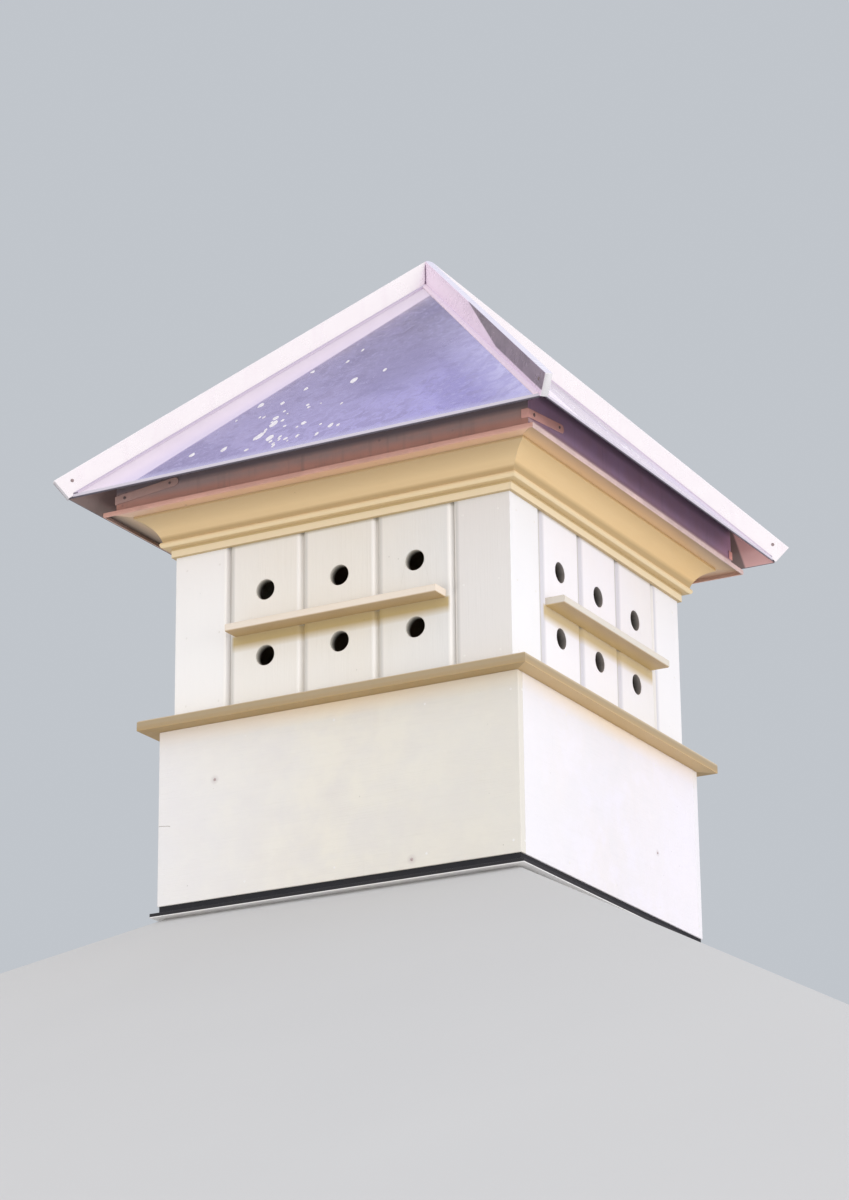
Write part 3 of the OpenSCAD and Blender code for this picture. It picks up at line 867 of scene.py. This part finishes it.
def droppings(side):
    """Dried white spots and short runs on the roof sheet."""
    rng = random.Random(40 + side)
    if side == 0:
        spots = list(FRONT_SPOTS)
        spots += [(rng.gauss(-0.10, 0.06), rng.uniform(0.37, 0.49), rng.uniform(1.6, 4.0)) for _ in range(22)]
    else:
        middle = rng.uniform(-0.1, 0.1)
        spots = [(rng.gauss(middle, 0.10), rng.uniform(0.26, 0.48), rng.uniform(1.6, 6.5)) for _ in range(30)]

    def make(bm):
        for u, d, size in spots:
            if abs(u) > d - 0.03:                # would lie under a cap
                continue
            v = (EAVE - d) / math.cos(SLOPE)
            outline = blob(rng, u, v, size * MILLIMETRE * SPREAD, rng.randint(7, 10), rng.uniform(1.2, 2.2))
            plate(bm, outline, 0.0006, on_roof(side))
    f = Finish("droppings_" + SIDES[side])
    tone = f.noise(160, 3, 0.6)
    c = f.mix(f.fit(tone, 0.35, 0.7), (0.95, 0.92, 0.95), (0.72, 0.68, 0.74))
    f.set(color=c, rough=0.8, specular=0.2, normal=f.bump(tone, 0.0006, 0.4))
    piece("droppings_" + SIDES[side], make, f.material)


def metal_heads(name, light, metal=0.7):
    """Weathered metal with dark pits, for rivets and nail heads."""
    f = Finish(name)
    tone = f.noise(420, 3, 0.6)
    c = f.mix(f.fit(tone, 0.35, 0.65), toned((0.17, 0.13, 0.13), light), toned((0.34, 0.27, 0.26), light))
    return f.set(color=c, rough=f.fit(tone, 0.3, 0.7, 0.35, 0.6), metal=metal, normal=f.bump(tone, 0.0003, 0.5))


def strap_rivets(bm):
    """One rivet where each strap turns the corner, and one near its end."""
    for side in range(4):
        place = on_wall(side, SKIRT + STRAP_T)
        plate(bm, circle(0.0032, 12, -SKIRT + 0.020, CEILING_Z + 0.0295), 0.0014, place)
        plate(bm, circle(0.0028, 12, -SKIRT + 0.122, CEILING_Z + 0.0405), 0.0014, place)


piece("strap_rivets", strap_rivets, metal_heads("fastener_metal", 1.0))


def cap_rivets(bm):
    """A rivet through the web of each cap near its lower end."""
    out = TIP - 0.030
    z = PEAK_Z - out * RISE + 0.024
    for corner in range(4):
        for face in (-1, 1):
            normal = Vector((1, 1, 0)).normalized() * face
            axes = Matrix((Vector((0, 0, 1)).cross(normal), Vector((0, 0, 1)), normal)).transposed().to_4x4()
            at = Vector((out, -out, z)) + normal * CAP_W / 2
            plate(bm, circle(0.0034, 12), 0.0014, turned(corner) @ Matrix.Translation(at) @ axes)


piece("cap_rivets", cap_rivets, metal_heads("rivet_metal", 1.6))


def solder_finish():
    f = Finish("mitre_solder")
    tone = f.noise(300, 3, 0.6)
    c = f.mix(f.fit(tone, 0.35, 0.65), (0.22, 0.12, 0.20), (0.36, 0.22, 0.33))
    return f.set(color=c, rough=0.4, metal=0.5, normal=f.bump(tone, 0.0004, 0.5))


def mitre_seams(bm):
    """The closed seam where two caps meet over each panel, with a bead of solder at its foot."""
    inner = CAP_W / math.sqrt(2)
    foot = PEAK_Z - inner * RISE
    top = foot + CAP_H - 0.002
    for side in range(4):
        place = on_wall(side, inner)
        plate(bm, [(-0.0016, foot), (0.0016, foot), (0.0013, top), (-0.0013, top)], 0.0010, place)
        plate(bm, [(x, foot + 0.004 + y) for x, y in circle(0.0042, 12)], 0.0016, place)


piece("mitre_seams", mitre_seams, solder_finish())


def nail_heads(bm):
    """Nails left proud in the base panels, one at the middle of each stain."""
    rng = random.Random(7)
    for side in range(4):
        for u, v, size in STAINS[side]:
            plate(bm, blob(rng, u, v, size * HEAD_IN_STAIN, 10), 0.0010, on_wall(side, BASE))


piece("nail_heads", nail_heads, metal_heads("nail_metal", 2.0, metal=0.15))


def filled_nails(bm):
    """Filled and painted nail heads, set in pairs along the boards."""
    for side in range(4):
        base = on_wall(side, BASE)
        for u in (-0.365, -0.19, 0.0, 0.19, 0.365):
            for v in (0.045, LEDGE_Z - 0.035):
                plate(bm, circle(0.0024, 10, u, v), 0.0003, base)
        nest = on_wall(side, NEST)
        for u in (-0.335, -0.262, 0.262, 0.335):
            for v in (NEST_Z + 0.030, (NEST_Z + CROWN_Z) / 2, CROWN_Z - 0.030):
                plate(bm, circle(0.0022, 10, u, v), 0.0003, nest)


piece("filled_nails", filled_nails, paint("filler_paint", (0.88, 0.865, 0.85), (0.78, 0.76, 0.73), "z", 21.0,
                                          wear=0.0, soil_and_shade=0.1))


def hairline_crack(bm):
    """A short crack in the paint from the front panel's left edge."""
    place = on_wall(0, BASE)
    rng = random.Random(3)
    w = 0.0005                                   # half of the crack's width
    points = [(-0.3785 + 0.0050 * k, 0.1762 - 0.0006 * k + rng.uniform(-0.0006, 0.0006)) for k in range(6)]
    for a, b in zip(points, points[1:]):
        plate(bm, [(a[0], a[1] - w), (b[0], b[1] - w), (b[0], b[1] + w), (a[0], a[1] + w)], 0.0002, place)


crack = Finish("crack_shade")
crack_tone = crack.noise(500, 2, 0.5)
crack.set(color=crack.mix(crack_tone, (0.30, 0.27, 0.24), (0.50, 0.47, 0.43)), rough=0.9, specular=0.1)
piece("hairline_crack", hairline_crack, crack.material)

for i in range(4):
    droppings(i)
